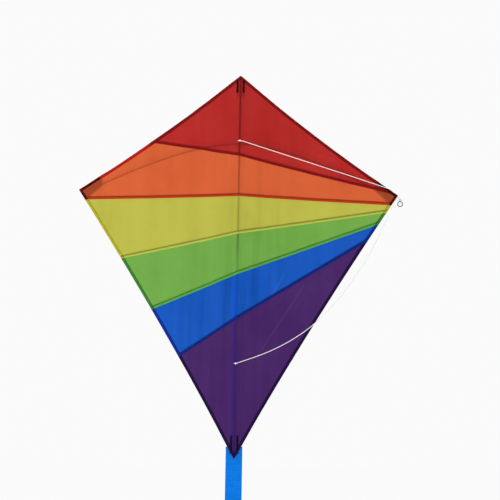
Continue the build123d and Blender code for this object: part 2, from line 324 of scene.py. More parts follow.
def clothMaterial(name, look):
    c = clothLook
    made, tree = newMaterial(name)
    uv = node(tree, "ShaderNodeUVMap", uv_map="cut").outputs[0]
    split = node(tree, "ShaderNodeSeparateXYZ", i0=uv)
    across, upward = split.outputs[0], split.outputs[1]
    face = srgb(*look["face"])
    deep, pale = tint(face, 0.72), tint(face, 1.18, 0.01)
    colour = mixColour(tree, within(tree, noise(tree, uv, 9.0, 3.0), 0.5, 0.25), pale, face)
    # painted shade: long soft dark streaks near the spine, where soft folds in the cloth would be shaded
    foldShade = within(tree, noise(tree, uv, 1.0, 1.0, (55.0, 2.2, 1.0)), 0.47, 0.12)
    nearSpine = times(tree, closeTo(tree, across, c["shadeStreaksTo"]), look["streaks"])
    colour = mixColour(tree, times(tree, foldShade, nearSpine), colour, deep)
    # broad pale streaks up the cloth
    broad = within(tree, noise(tree, uv, 1.0, 2.0, (26.0, 1.8, 1.0)), 0.44, 0.1)
    colour = mixColour(tree, times(tree, broad, 0.55), colour, pale)
    # threads: speckle of the weave and the ripstop grid
    speck = within(tree, noise(tree, uv, 620.0, 2.0), 0.48, 0.16)
    colour = mixColour(tree, times(tree, speck, 0.16), colour, deep)
    weave = weaveHeight(tree, uv, c["thread"], c["grid"])
    colour = mixColour(tree, times(tree, weave, 0.07, True), colour, pale)
    # painted shadows of the rods behind the cloth, as thin dark lines; lower down the cloth stands clear of the
    # spine, so the spine's painted shadow fades
    down = times(tree, fade(tree, upward, -0.24, -0.19, 0.12, 1.0), look["spineShadow"])
    spine = times(tree, closeTo(tree, across, c["spineWidth"]), down)
    rod = times(tree, closeTo(tree, attribute(tree, "rodOffset"), c["rodWidth"]), c["rodShadowStrength"])
    # painted sheen: a cooler, bluer band along a fold just left of the spine, and a painted highlight on a
    # ridge right of it, in the lower half
    low = fade(tree, upward, -0.24, -0.31)
    fold = closeTo(tree, maths(tree, "ADD", across, c["sheenLeftBy"]), c["sheenWidth"])
    sheenColour = (face[0] * 0.75, face[1] * 1.05, min(1.0, face[2] * 1.55 + 0.03), 1.0)
    colour = mixColour(tree, times(tree, times(tree, fold, low), c["sheenStrength"]), colour, sheenColour)
    # the painted highlight leans away from the spine as it rises
    lean = times(tree, maths(tree, "SUBTRACT", upward, c["ridgeFoot"]), c["ridgeLean"])
    ridgeHighlight = closeTo(tree, maths(tree, "SUBTRACT", across, lean), c["spineWidth"])
    colour = mixColour(tree, times(tree, times(tree, ridgeHighlight, low), c["ridgeHighlightStrength"]), colour, pale)
    # painted highlight: pale lines along creases
    highlight = times(tree, closeTo(tree, attribute(tree, "foldMark"), c["highlightWidth"]), c["highlightStrength"])
    colour = mixColour(tree, highlight, colour, tint(face, 1.5, 0.03))
    # painted shade where the tip pocket lies behind the cloth; the painted rod shadows and this shade darken
    # the colour together
    pocketShade = times(tree, within(tree, attribute(tree, "pocketOffset"), 0.0, 0.003), c["pocketShadeStrength"])
    shade = maths(tree, "MAXIMUM", maths(tree, "MAXIMUM", spine, rod), pocketShade)
    colour = mixColour(tree, shade, colour, tint(face, 0.3))
    # doubled cloth: seam band along the panel's foot, hem along the outer edge
    if look["bandWidth"]:
        band = within(tree, attribute(tree, "seamHeight"), look["bandWidth"], c["bandSoft"])
        colour = mixColour(tree, band, colour, srgb(*look["band"]))
    hem = within(tree, attribute(tree, "edgeDistance"), hems["width"], c["bandSoft"])
    colour = mixColour(tree, hem, colour, srgb(*look["hem"]))
    wrinkle = noise(tree, uv, 38.0, 4.0, (1.0, 0.55, 1.0))
    soft = node(tree, "ShaderNodeBump", Strength=0.35, Distance=c["wrinkleBump"], Height=wrinkle)
    fine = node(tree, "ShaderNodeBump", Strength=0.6, Distance=c["weaveBump"], Height=weave,
                Normal=soft.outputs[0]).outputs[0]
    shader = node(tree, "ShaderNodeBsdfPrincipled", Base_Color=colour, Normal=fine, Roughness=c["roughness"],
                  Specular_IOR_Level=c["shine"])
    lit = node(tree, "ShaderNodeBsdfTranslucent", Color=colour, Normal=fine)
    finishMaterial(tree, shader, lit, c["seeThrough"])
    return made


def finishMaterial(tree, shader, lit=None, seeThrough=0.0):
    # the surface, with some light let through when lit is given
    out = shader.outputs[0]
    if lit:
        out = node(tree, "ShaderNodeMixShader", Fac=seeThrough, i1=out, i2=lit.outputs[0]).outputs[0]
    node(tree, "ShaderNodeOutputMaterial", Surface=out)


def wovenMaterial(name, face, thread, ribs, roughness=0.7, bump=0.00025, seeThrough=0.0, second=None,
                  edge=None):
    # tape, webbing and pocket cloth: ribs along the piece and a fine cross thread, on its own UV map;
    # second is a brighter colour, painted light, used where the attribute overPale is 1
    made, tree = newMaterial(name)
    uv = node(tree, "ShaderNodeUVMap", uv_map="cut").outputs[0]
    split = node(tree, "ShaderNodeSeparateXYZ", i0=uv)
    a = maths(tree, "SINE", times(tree, split.outputs[0], 2 * pi / thread))
    b = maths(tree, "SINE", times(tree, split.outputs[1], 2 * pi / ribs))
    height = times(tree, maths(tree, "ADD", times(tree, a, b), 1.0), 0.5)
    base = srgb(*face)
    if second:
        base = mixColour(tree, attribute(tree, "overPale"), base, srgb(*second))
    dim = maths(tree, "ADD", times(tree, height, 0.3), 0.72)
    dim = maths(tree, "ADD", dim, times(tree, noise(tree, uv, 120.0, 3.0), 0.22))
    if edge:
        # a heat-cut selvedge, and painted shade: faint darker bars across the ribbon where soft folds would be
        # shaded
        side = maths(tree, "SUBTRACT", edge, maths(tree, "ABSOLUTE", split.outputs[0]))
        dim = maths(tree, "SUBTRACT", dim, times(tree, within(tree, side, 0.0009, 0.0003), 0.22))
        ribbonFoldShade = within(tree, noise(tree, uv, 1.0, 2.0, (9.0, 260.0, 1.0)), 0.46, 0.08)
        dim = maths(tree, "SUBTRACT", dim, times(tree, ribbonFoldShade, 0.1))
    colour = node(tree, "ShaderNodeVectorMath", operation="SCALE", i0=base, Scale=dim).outputs[0]
    relief = node(tree, "ShaderNodeBump", Strength=0.7, Distance=bump, Height=height)
    shader = node(tree, "ShaderNodeBsdfPrincipled", Base_Color=colour, Normal=relief.outputs[0],
                  Roughness=roughness, Specular_IOR_Level=clothLook["shine"])
    lit = node(tree, "ShaderNodeBsdfTranslucent", Color=colour) if seeThrough else None
    finishMaterial(tree, shader, lit, seeThrough)
    return made


def grainMaterial(name, face, roughness, scale, bump, metallic=0.0, speckle=0.2, stretch=(1, 1, 1), shine=0.4):
    # moulded plastic, rubber, metal and thread: a fine grain with soft patches, on object coordinates
    made, tree = newMaterial(name)
    place = node(tree, "ShaderNodeTexCoord").outputs["Object"]
    place = node(tree, "ShaderNodeMapping", i0=place, i3=stretch).outputs[0]
    grain, patch = noise(tree, place, scale, 4.0), noise(tree, place, scale / 14, 2.0)
    base = srgb(*face)
    amount = times(tree, maths(tree, "ADD", within(tree, grain, 0.5, 0.2), patch), speckle)
    colour = mixColour(tree, amount, base, tint(base, 1.5, 0.01))
    relief = node(tree, "ShaderNodeBump", Strength=0.5, Distance=bump, Height=grain)
    rough = node(tree, "ShaderNodeMapRange", i0=patch, i1=0.3, i2=0.7, i3=roughness - 0.08, i4=roughness + 0.08)
    shader = node(tree, "ShaderNodeBsdfPrincipled", Base_Color=colour, Normal=relief.outputs[0],
                  Roughness=rough.outputs[0], Metallic=metallic, Specular_IOR_Level=shine)
    finishMaterial(tree, shader)
    return made


hems = {
    "width": 0.0062,
    "layerGap": 0.00035,
    "lap": 0.006,
    "lapRows": (0.08, 0.5, 1.0),
    "stepOver": 0.0015,  # a panel's head drops behind its neighbour's foot over this
    "stitchIn": 0.005,
    # the turned edge: inset from the edge and distance behind, from the front face round to the hem's end
    "turn": [(0.0, 0.0), (-0.00012, 0.00018), (0.0, 0.00035), (0.002, 0.0004), (0.0062, 0.0004)],
    "stitchEnds": (0.012, 0.985),
}
binding = {"width": 0.0062, "behind": 0.00055, "thickness": 0.00028, "stitchIn": 0.0046, "step": 0.003,
           "start": 0.002, "stitchEnds": (0.012, 0.995)}

clothOf = {name: clothMaterial(f"{name} ripstop", look) for name, look in panelLooks.items()}
# the tape's second colour is painted light: the tape drawn brighter over the orange cloth
tapeMaterial = wovenMaterial("red binding tape", (140, 8, 14), 0.0007, 0.0009, 0.6, 0.0002, 0.15, (206, 28, 12))
pocketMaterial = wovenMaterial("black pocket cloth", (26, 26, 30), 0.0006, 0.0006, 0.75)
ribbonMaterial = wovenMaterial("blue ribbon", (2, 130, 244), 0.0006, 0.0006, 0.6, 0.00012, 0.25, edge=0.016)
lineMaterial = grainMaterial("white braided line", (250, 247, 242), 0.7, 2600.0, 0.0001, speckle=0.1)
blackThread = grainMaterial("black thread", (7, 5, 8), 0.8, 3000.0, 0.0001, shine=0.1)
rodMaterial = grainMaterial("black glass fibre", (26, 26, 29), 0.34, 900.0, 0.00003, stretch=(1, 1, 0.05))
rubberMaterial = grainMaterial("black rubber", (18, 18, 19), 0.72, 1400.0, 0.00008)
plasticMaterial = grainMaterial("black moulded plastic", (24, 24, 26), 0.45, 1100.0, 0.00005)
metalMaterial = grainMaterial("satin aluminium", (188, 190, 194), 0.3, 1500.0, 0.00002, 1.0, 0.1)
elasticMaterial = grainMaterial("black elastic", (22, 22, 24), 0.8, 800.0, 0.00015, stretch=(1, 1, 3))
print("materials ready")


drape = {
    "columns": 22,
    "upperRows": 18,
    "lowerRows": 34,
    "frames": 45,
    "slack": 0.0006,  # share by which the cloth is longer than the flat cut
    "push": (0.0, 1.3, -5.0),  # its weight, and a light breeze on the front
    "forwardMost": 0.0013,
    "backMost": 0.0085,
    "cloth": {"quality": 7, "mass": 0.02, "air_damping": 2.0, "tension_stiffness": 60,
              "compression_stiffness": 60, "shear_stiffness": 25, "bending_stiffness": 0.15},
}


def sweptPoint(side, u, z, behind=0.0):
    # the flat cut folded round the spine, with no slack in it
    a, c = sail["sweep"], sail["foldRound"]
    root = np.sqrt(u * u + c * c)
    slope = np.arctan(tan(a) * u / root)
    x = u * cos(a) - behind * np.sin(slope)
    y = sail["foldY"] + sin(a) * root + behind * np.cos(slope)
    return np.stack(np.broadcast_arrays(signOf[side] * x, y, z), -1)


def drapeRows():
    upper = np.linspace(nose[1], tip[1], drape["upperRows"] + 1)[1:]
    lower = np.linspace(tip[1], tail[1], drape["lowerRows"] + 1)[1:-1]
    return np.concatenate([upper, lower])


def simulateSail():
    # a grid over both wings, held at the nose, the tips, the tail and along the spine
    heights = drapeRows()
    count = drape["columns"]
    share = np.linspace(-1, 1, 2 * count + 1)
    points, held = [], []
    for row, z in enumerate(heights):
        reach = float(leadingReach(z) if z >= tip[1] else trailingReach(z))
        for column, s in enumerate(share):
            side = "left" if s < 0 else "right"
            points.append(sweptPoint(side, np.float64(abs(s) * reach), z))
            ends = row in (0, len(heights) - 1) or column == count
            isTip = row == drape["upperRows"] - 1 and column in (0, 1, 2 * count - 1, 2 * count)
            held.append(ends or isTip)
    width = 2 * count + 1
    faces = [(r * width + c, r * width + c + 1, (r + 1) * width + c + 1, (r + 1) * width + c)
             for r in range(len(heights) - 1) for c in range(width - 1)]
    mesh = bpy.data.meshes.new("drape grid")
    mesh.from_pydata([tuple(p) for p in points], [], faces)
    made = linked("drape grid", mesh)
    rest = np.array(points)
    pins = made.vertex_groups.new(name="held")
    pins.add([i for i, h in enumerate(held) if h], 1.0, "REPLACE")
    cloth = made.modifiers.new("cloth", "CLOTH")
    for key, value in drape["cloth"].items():
        setattr(cloth.settings, key, value)
    cloth.settings.vertex_group_mass = "held"
    cloth.settings.shrink_min = -drape["slack"]
    cloth.collision_settings.use_collision = False
    cloth.point_cache.frame_start = 1
    cloth.point_cache.frame_end = drape["frames"]
    scene = bpy.context.scene
    weight = tuple(scene.gravity)
    scene.gravity = drape["push"]
    for step in range(1, drape["frames"] + 1):
        scene.frame_set(step)
    shaped = made.evaluated_get(bpy.context.evaluated_depsgraph_get()).to_mesh()
    end = np.array([v.co for v in shaped.vertices])
    scene.gravity = weight
    scene.frame_set(1)
    bpy.data.objects.remove(made)
    moved = (end - rest).reshape(len(heights), width, 3)
    behind = moved @ np.array((0, cos(sail["sweep"]), 0))
    sideways = moved @ np.array((sin(sail["sweep"]), 0, 0))
    behind[:, :count] += sideways[:, :count]
    behind[:, count + 1:] -= sideways[:, count + 1:]
    print("sail drape: most behind", round(float(behind.max()) * 1000, 2), "mm, most in front",
          round(float(-behind.min()) * 1000, 2), "mm")
    return {"left": behind[:, count::-1], "right": behind[:, count:]}


draped = simulateSail()

# Where the draped cloth is held close to the flat wing
closeCloth = {
    "overRod": 0.0004,
    "rodWidth": 0.018,
    "atSpine": 0.0003,
    "spineSlope": 0.12,
    "pocketSlope": 0.2,
    "endsWithin": 0.05,
    "endsHalf": 0.0095,
    "endsSlope": 0.15,
    "fadeFrom": 0.008,
}

# Creases: side, from (u, z), to (u, z), width, depth (behind is positive)
creases = [
    ("right", (0.138, -0.275), (0.052, -0.408), 0.0050, -0.0016),
    ("right", (0.156, -0.290), (0.076, -0.418), 0.0080, 0.0016),
    ("right", (0.030, -0.262), (0.024, -0.500), 0.0100, 0.0010),
    ("right", (0.013, -0.330), (0.010, -0.590), 0.0060, -0.0007),
    ("left", (0.016, -0.215), (0.014, -0.560), 0.0065, 0.0012),
    ("left", (0.034, -0.205), (0.030, -0.330), 0.0090, -0.0010),
    ("left", (0.060, -0.110), (0.052, -0.320), 0.0110, 0.0009),
    ("left", (0.120, -0.090), (0.100, -0.200), 0.0140, -0.0009),
    ("left", (0.185, -0.088), (0.165, -0.170), 0.0130, 0.0009),
    ("left", (0.235, -0.088), (0.222, -0.150), 0.0120, -0.0007),
    ("right", (0.060, -0.060), (0.048, -0.240), 0.0120, 0.0009),
    ("right", (0.118, -0.075), (0.100, -0.200), 0.0130, -0.0008),
    ("right", (0.300, -0.080), (0.120, -0.045), 0.0090, 0.0007),
    ("left", (0.300, -0.080), (0.150, -0.058), 0.0090, 0.0007),
]


tipPocketShape = {
    "alongLeading": 0.055,
    "alongTrailing": 0.026,
    "inset": 0.002,
    "depth": 0.021,
    "fromTip": 0.006,
}


def tipPocketCorners():
    # the pocket's outline behind a wing tip, in the flat wing
    s = tipPocketShape
    onLead = edgePoint(nose, tip, 1 - s["alongLeading"] / leadingRun, sail["leadingScallop"] + s["inset"])
    onTrail = edgePoint(tip, tail, s["alongTrailing"] / trailingRun, sail["trailingScallop"] + s["inset"])
    inner = (onLead[0] - s["inset"], onLead[1] - s["depth"])
    return [between(tip, (0, tip[1]), s["fromTip"]), onLead, inner, onTrail]


def outsidePolygon(corners, u, z):
    # signed distance outside a convex outline, below 0 inside it
    centre = np.mean(corners, 0)
    most = np.full(np.shape(u), -1.0)
    for a, b in zip(corners, corners[1:] + corners[:1]):
        run = hypot(b[0] - a[0], b[1] - a[1])
        normal = ((b[1] - a[1]) / run, (a[0] - b[0]) / run)
        if (centre[0] - a[0]) * normal[0] + (centre[1] - a[1]) * normal[1] > 0:
            normal = (-normal[0], -normal[1])
        most = np.maximum(most, (u - a[0]) * normal[0] + (z - a[1]) * normal[1])
    return most


# Painted highlights along creases: side, from (u, z), to (u, z)
creaseHighlightLines = [
    ("right", (0.138, -0.275), (0.052, -0.408)),
    ("right", (0.097, -0.256), (0.066, -0.308)),
]


def slackBehind(side, u, z):
    # how far the draped cloth stands behind the flat wing at each (u, z)
    u, z = np.broadcast_arrays(np.asarray(u, float), np.asarray(z, float))
    heights = drapeRows()
    reach = np.where(z >= tip[1], leadingReach(z), trailingReach(z))
    along = np.clip(u / np.maximum(reach, 1e-4), 0, 1) * drape["columns"]
    row = np.interp(-z, -heights, np.arange(len(heights)))
    r0, c0 = np.floor(row).astype(int), np.floor(along).astype(int)
    r1, c1 = np.minimum(r0 + 1, len(heights) - 1), np.minimum(c0 + 1, drape["columns"])
    fr, fc = row - r0, along - c0
    fr, fc = fr * fr * (3 - 2 * fr), fc * fc * (3 - 2 * fc)
    grid = draped[side]
    behind = (grid[r0, c0] * (1 - fr) * (1 - fc) + grid[r1, c0] * fr * (1 - fc)
              + grid[r0, c1] * (1 - fr) * fc + grid[r1, c1] * fr * fc)
    for which, a, b, width, depth in creases:
        if which == side:
            run = np.array(b) - np.array(a)
            share = ((u - a[0]) * run[0] + (z - a[1]) * run[1]) / (run @ run)
            gap = np.hypot(u - a[0] - share * run[0], z - a[1] - share * run[1]) / width
            fade = np.clip(np.minimum(share, 1 - share) * 4, 0, 1)
            behind = behind + depth * fade * np.exp(-gap * gap * 2)
    # the cloth lies in front of the rods
    c, most = closeCloth, drape["backMost"]
    room = most - (most - c["overRod"]) * np.exp(-(((z + spreaderDrop(u)) / c["rodWidth"]) ** 2))
    room = np.minimum(room, c["atSpine"] + np.abs(u) * c["spineSlope"])
    # it is sewn flat to the pockets at the tips and at both ends of the spine
    outside = np.clip(outsidePolygon(tipPocketCorners(), u, z), 0, None)
    room = np.minimum(room, c["atSpine"] + outside * c["pocketSlope"])
    atEnds = (z > nose[1] - c["endsWithin"]) | (z < tail[1] + c["endsWithin"])
    room = np.where(atEnds, np.minimum(room, np.clip(u - c["endsHalf"], 0, None) * c["endsSlope"]), room)
    return np.clip(behind, -drape["forwardMost"], room) * np.clip(u / c["fadeFrom"], 0, 1)


def sailPoint(side, u, z, behind=0.0):
    u, z = np.asarray(u, float), np.asarray(z, float)
    return sweptPoint(side, u, z, slackBehind(side, u, z) + behind)


def newPiece(name, points, faces, material, uv=None, layers=None):
    mesh = bpy.data.meshes.new(name)
    mesh.from_pydata([tuple(map(float, p)) for p in points], [], faces)
    if uv is not None:
        layer = mesh.uv_layers.new(name="cut")
        index = np.empty(len(mesh.loops), int)
        mesh.loops.foreach_get("vertex_index", index)
        layer.data.foreach_set("uv", np.asarray(uv, np.float32)[index].ravel())
    for key, values in (layers or {}).items():
        mesh.attributes.new(key, "FLOAT", "POINT").data.foreach_set("value", np.asarray(values, np.float32))
    mesh.materials.append(material)
    mesh.shade_smooth()
    return linked(name, mesh)


def gridFaces(rows, columns, flip=False):
    faces = []
    for r in range(rows - 1):
        for c in range(columns - 1):
            quad = (r * columns + c, r * columns + c + 1, (r + 1) * columns + c + 1, (r + 1) * columns + c)
            faces.append(quad[::-1] if flip else quad)
    return faces


def tidyMesh(made, distance):
    # merges doubled points and drops faces of no area
    bm = bmesh.new()
    bm.from_mesh(made.data)
    bmesh.ops.remove_doubles(bm, verts=bm.verts, dist=distance)
    bmesh.ops.dissolve_degenerate(bm, edges=bm.edges, dist=distance)
    bm.to_mesh(made.data)
    bm.free()
    made.data.shade_smooth()


def fitted(made, body, slot, *nodes):
    # rides a body; on "left" or "right" the piece's place is baked into its mesh and it rides no body
    if body in signOf:
        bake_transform(made)
    else:
        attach(made, body)
    if nodes:
        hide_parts(*nodes)


def tube(name, path, radius, material, sides=12, ripple=None, closed=False):
    # a mesh tube along points; ripple(distance, angle) scales its radius
    path = np.asarray(path, float)
    count = len(path)
    if closed:
        tangent = np.roll(path, -1, 0) - np.roll(path, 1, 0)
    else:
        tangent = np.gradient(path, axis=0)
    tangent /= np.linalg.norm(tangent, axis=1)[:, None]
    across = np.cross(tangent[0], (0.31, 0.17, 0.93))
    frames = []
    for t in tangent:
        across = across - t * (across @ t)
        across /= np.linalg.norm(across)
        frames.append((across, np.cross(t, across)))
    run = np.concatenate([[0], np.cumsum(np.linalg.norm(np.diff(path, axis=0), axis=1))])
    angles = np.arange(sides) * 2 * pi / sides
    points, uv = [], []
    for p, (a, b), s in zip(path, frames, run):
        for angle in angles:
            r = radius * (ripple(s, angle) if ripple else 1.0)
            points.append(p + r * (a * cos(angle) + b * sin(angle)))
            uv.append((s, angle * radius))
    faces = []
    for i in range(count if closed else count - 1):
        j = (i + 1) % count
        for k in range(sides):
            m = (k + 1) % sides
            faces.append((i * sides + k, i * sides + m, j * sides + m, j * sides + k))
    if not closed:
        faces.append(tuple(range(sides))[::-1])
        faces.append(tuple((count - 1) * sides + k for k in range(sides)))
    return newPiece(name, points, faces, material, uv)


def joined(name, pieces):
    # several meshes made one piece
    for p in bpy.context.selected_objects:
        p.select_set(False)
    for p in pieces:
        p.select_set(True)
    bpy.context.view_layer.objects.active = pieces[0]
    bpy.ops.object.join()
    pieces[0].name = name
    return pieces[0]


def socketNamed(tree, label):
    return next(s.identifier for s in tree.interface.items_tree if s.name == label)


def stitchTree(kind):
    # zigzag: one thread swung from side to side; running: a short stitch at each step
    tree = bpy.data.node_groups.new(f"{kind} stitch", "GeometryNodeTree")
    for label, holds in (("Geometry", "Geometry"), ("Step", "Float"), ("Width", "Float"), ("Thread", "Float"),
                         ("Facing", "Vector"), ("Material", "Material")):
        tree.interface.new_socket(label, in_out="INPUT", socket_type=f"NodeSocket{holds}")
    tree.interface.new_socket("Geometry", in_out="OUTPUT", socket_type="NodeSocketGeometry")
    given = node(tree, "NodeGroupInput").outputs
    line = node(tree, "GeometryNodeMeshToCurve", i0=given["Geometry"]).outputs[0]
    line = node(tree, "GeometryNodeResampleCurve", mode="LENGTH", Curve=line, Length=given["Step"]).outputs[0]
    if kind == "zigzag":
        tangent = node(tree, "GeometryNodeInputTangent").outputs[0]
        sideways = node(tree, "ShaderNodeVectorMath", operation="CROSS_PRODUCT", i0=tangent, i1=given["Facing"])
        turn = maths(tree, "MODULO", node(tree, "GeometryNodeInputIndex").outputs[0], 2)
        swing = times(tree, maths(tree, "SUBTRACT", turn, 0.5), given["Width"])
        shift = node(tree, "ShaderNodeVectorMath", operation="SCALE", i0=sideways.outputs[0], Scale=swing)
        line = node(tree, "GeometryNodeSetPosition", Geometry=line, Offset=shift.outputs[0]).outputs[0]
        # points between the turns keep the thread round along its straight runs
        line = node(tree, "GeometryNodeSubdivideCurve", Curve=line, Cuts=3).outputs[0]
        ring = node(tree, "GeometryNodeCurvePrimitiveCircle", Resolution=5, Radius=given["Thread"]).outputs[0]
        shaped = node(tree, "GeometryNodeCurveToMesh", Curve=line, Profile_Curve=ring, Fill_Caps=True)
    else:
        points = node(tree, "GeometryNodeCurveToPoints", mode="EVALUATED", Curve=line).outputs
        ball = node(tree, "GeometryNodeMeshUVSphere", Segments=6, Rings=5, Radius=1.0).outputs[0]
        size = node(tree, "ShaderNodeCombineXYZ", i0=given["Thread"], i1=given["Thread"], i2=given["Width"])
        shaped = node(tree, "GeometryNodeInstanceOnPoints", Points=points["Points"], Instance=ball,
                      Rotation=points["Rotation"], Scale=size.outputs[0])
    real = node(tree, "GeometryNodeRealizeInstances", i0=shaped.outputs[0])
    paint = node(tree, "GeometryNodeSetMaterial", Geometry=real.outputs[0], Material=given["Material"])
    node(tree, "NodeGroupOutput", i0=paint.outputs[0])
    return tree


zigzagTree, runningTree = stitchTree("zigzag"), stitchTree("running")


def stitched(name, tree, lines, step, width, thread, facing, material):
    # runs a stitch tree along one or more lines of points, and keeps the result as a plain mesh
    points, edges = [], []
    for line in lines:
        start = len(points)
        points += [tuple(map(float, p)) for p in line]
        edges += [(start + i, start + i + 1) for i in range(len(line) - 1)]
    mesh = bpy.data.meshes.new(name)
    mesh.from_pydata(points, edges, [])
    made = linked(name, mesh)
    sew = made.modifiers.new("stitch", "NODES")
    sew.node_group = tree
    for label, value in (("Step", step), ("Width", width), ("Thread", thread), ("Facing", facing),
                         ("Material", material)):
        sew[socketNamed(tree, label)] = value
    evaluated = made.evaluated_get(bpy.context.evaluated_depsgraph_get())
    plain = bpy.data.meshes.new_from_object(evaluated)
    made.modifiers.remove(sew)
    made.data = plain
    plain.materials.clear()
    plain.materials.append(material)
    plain.shade_smooth()
    return made


def facingOf(side):
    a = sail["sweep"]
    return (signOf[side] * sin(a), -cos(a), 0.0)


bridle = {
    "diameter": 0.0015,
    # u, z and distance behind the cloth, in the flat right wing
    "upperRoute": [(0.0026, 0.0064, -0.0033), (0.312, -0.0712, -0.0019), (0.3178, -0.0743, 0.0022),
                   (0.3246, -0.0816, 0.0032), (0.3306, -0.0876, 0.0024), (0.3348, -0.0906, 0.0012)],
    "lowerRoute": [(0.3344, -0.0908, -0.0013), (0.3289, -0.0912, -0.0022), (0.3253, -0.096, -0.0025),
                   (0.3212, -0.1052, -0.0023), (0.3126, -0.124, -0.0023), (0.2956, -0.16, -0.0026),
                   (0.2728, -0.2052, -0.0033), (0.2476, -0.246, -0.0037), (0.2208, -0.2842, -0.0037),
                   (0.19, -0.3214, -0.0033), (0.1526, -0.358, -0.0029), (0.111, -0.3876, -0.0026),
                   (0.067, -0.411, -0.0026), (0.027, -0.4266, -0.003), (0.003, -0.4349, -0.0033)],
    "upperLength": 0.350,
    "lowerLength": 0.497,
    "upperTie": 0.0066,
    "lowerTie": -0.436,
    "hitch": (0.336, -0.0924),
    "knotAt": (0.3343, -0.0889, 0.0),
}


def flatWing(u, z, behind=0.0):
    a = sail["sweep"]
    return Vector((u * cos(a) - behind * sin(a), sail["foldY"] + u * sin(a) + behind * cos(a), z))


def splinePoints(route):
    # points along a smooth spline whose control points are the route's
    data = bpy.data.curves.new("route", "CURVE")
    data.dimensions = "3D"
    data.resolution_u = 40
    spline = data.splines.new("NURBS")
    spline.points.add(len(route) - 1)
    for point, place in zip(spline.points, route):
        point.co = (*place, 1.0)
    spline.order_u = 3
    spline.use_endpoint_u = True
    made = linked("route", data)
    plain = bpy.data.meshes.new_from_object(made.evaluated_get(bpy.context.evaluated_depsgraph_get()))
    points = np.array([v.co for v in plain.vertices])
    bpy.data.objects.remove(made)
    bpy.data.meshes.remove(plain)
    return points


def evenly(points, step):
    # the same line with its points this far apart
    run = np.concatenate([[0], np.cumsum(np.linalg.norm(np.diff(points, axis=0), axis=1))])
    at = np.linspace(0, run[-1], max(2, int(run[-1] / step)))
    return np.stack([np.interp(at, run, points[:, k]) for k in range(3)], 1)


def braid(distance, angle):
    # strands crossing both ways round the line
    turn = distance / 0.0046 * 2 * pi
    return 1.0 + 0.07 * sin(3 * angle + turn) * sin(3 * angle - turn)


bridleRadius = bridle["diameter"] / 2
legs = {}
for part, farEnd in (("upper", "knot"), ("lower", "object")):
    path = evenly(splinePoints([flatWing(*p) for p in bridle[f"{part}Route"]]), 0.0008)
    leg = tube(f"bridle_{part}_line", path, bridleRadius, lineMaterial, 10, braid)
    legs[part] = (leg, path, farEnd)

knotSize = {"ties": 0.00044, "hitch": 0.0004}


def knot(name, centre, size, radius, turn):
    # a pulled-tight overhand knot
    t = np.linspace(0, 2 * pi, 73)[:-1]
    loop = [np.sin(t) + 2 * np.sin(2 * t), np.cos(t) - 2 * np.cos(2 * t), -1.3 * np.sin(3 * t)]
    loop = np.stack(loop, 1) * size
    place = Matrix.Rotation(turn[0], 3, "X") @ Matrix.Rotation(turn[1], 3, "Z")
    path = [Vector(centre) + place @ Vector(p) for p in loop]
    return tube(name, path, radius, lineMaterial, 10, braid, closed=True)


tie = {"gap": 0.0004, "spine": 0.002, "frontGap": 0.001, "knotLead": 0.0005, "rise": 0.0002, "line": 0.92}
for part in ("upper", "lower"):
    z = bridle[f"{part}Tie"]
    back = tie["spine"] + tie["gap"] + bridleRadius
    front = sail["foldY"] - tie["frontGap"] - bridleRadius
    mid = (back + front) / 2
    straight = (back - front) / 2 - back
    t = np.linspace(0, 2 * pi, 65)[:-1]
    loop = [(back * cos(a), mid + back * sin(a) + (straight if sin(a) > 0 else -straight),
             z + tie["rise"] * sin(2 * a)) for a in t]
    ring = tube(f"bridle_tie_{part}_loop", loop, bridleRadius, lineMaterial, 10, braid, closed=True)
    lump = knot("knot", (0, front - tie["knotLead"], z), knotSize["ties"], bridleRadius * tie["line"],
                (pi / 2, 0.5))
    fitted(joined(f"bridle_{part}_tie", [ring, lump]), "spine", "bridle_line", f"bridle_tie_{part}")

hitchAt = flatWing(*bridle["hitch"])
wraps = {"turns": 2.0, "pitch": 0.0009, "radius": 0.0020, "line": 0.0005, "start": 0.6, "shift": 0.1}
t = np.linspace(0, wraps["turns"] * 2 * pi, 90) + wraps["start"]
coil = [(hitchAt.x + wraps["pitch"] * (a / (2 * pi) - wraps["turns"] / 2 - wraps["shift"]),
         hitchAt.y + wraps["radius"] * cos(a), hitchAt.z + wraps["radius"] * sin(a)) for a in t]
hitchWrap = tube("wrap", coil, wraps["line"], lineMaterial, 10, braid)
hitchKnot = knot("knot", flatWing(*bridle["knotAt"]), knotSize["hitch"], bridleRadius * 0.95, (pi / 2, 1.1))
hitchPiece = joined("tow_ring_hitch_line", [hitchWrap, hitchKnot])
fitted(hitchPiece, "right_wing", "bridle_line", "tow_ring_hitch")

for part, (leg, path, farEnd) in legs.items():
    fitted(leg, "right", "bridle_line", f"bridle_{part}_leg")
print("bridle ready")


def cutSize(points):
    # the smallest rectangle the flat piece is cut from
    best = None
    for angle in np.radians(np.arange(0, 90, 1.0)):
        a, b = points @ (cos(angle), sin(angle)), points @ (-sin(angle), cos(angle))
        size = (float(np.ptp(a)), float(np.ptp(b)))
        if best is None or size[0] * size[1] < best[0] * best[1]:
            best = size
    return best


def flatArea(uv, faces):
    total = 0.0
    for face in faces:
        p = uv[list(face)]
        q = np.roll(p, -1, 0)
        total += abs(float((p[:, 0] * q[:, 1] - q[:, 0] * p[:, 1]).sum())) / 2
    return total


def panelLimits(index, side, u):
    # foot, seam line at the head and top of the lap, at each u
    foot = trailingAt(u)
    if index < len(seams):
        foot = np.maximum(foot, seamAt(index, side, u))
    head = lap = leadingAt(u)
    if index > 0:
        seam = seamAt(index - 1, side, u)
        (x0, z0), (x1, z1) = seams[index - 1]
        rise = hems["lap"] * hypot(1, (z1 - z0) / (x1 - x0))
        head, lap = np.minimum(head, seam), np.minimum(lap, seam + rise)
    return foot, np.maximum(head, foot), np.maximum(lap, foot)


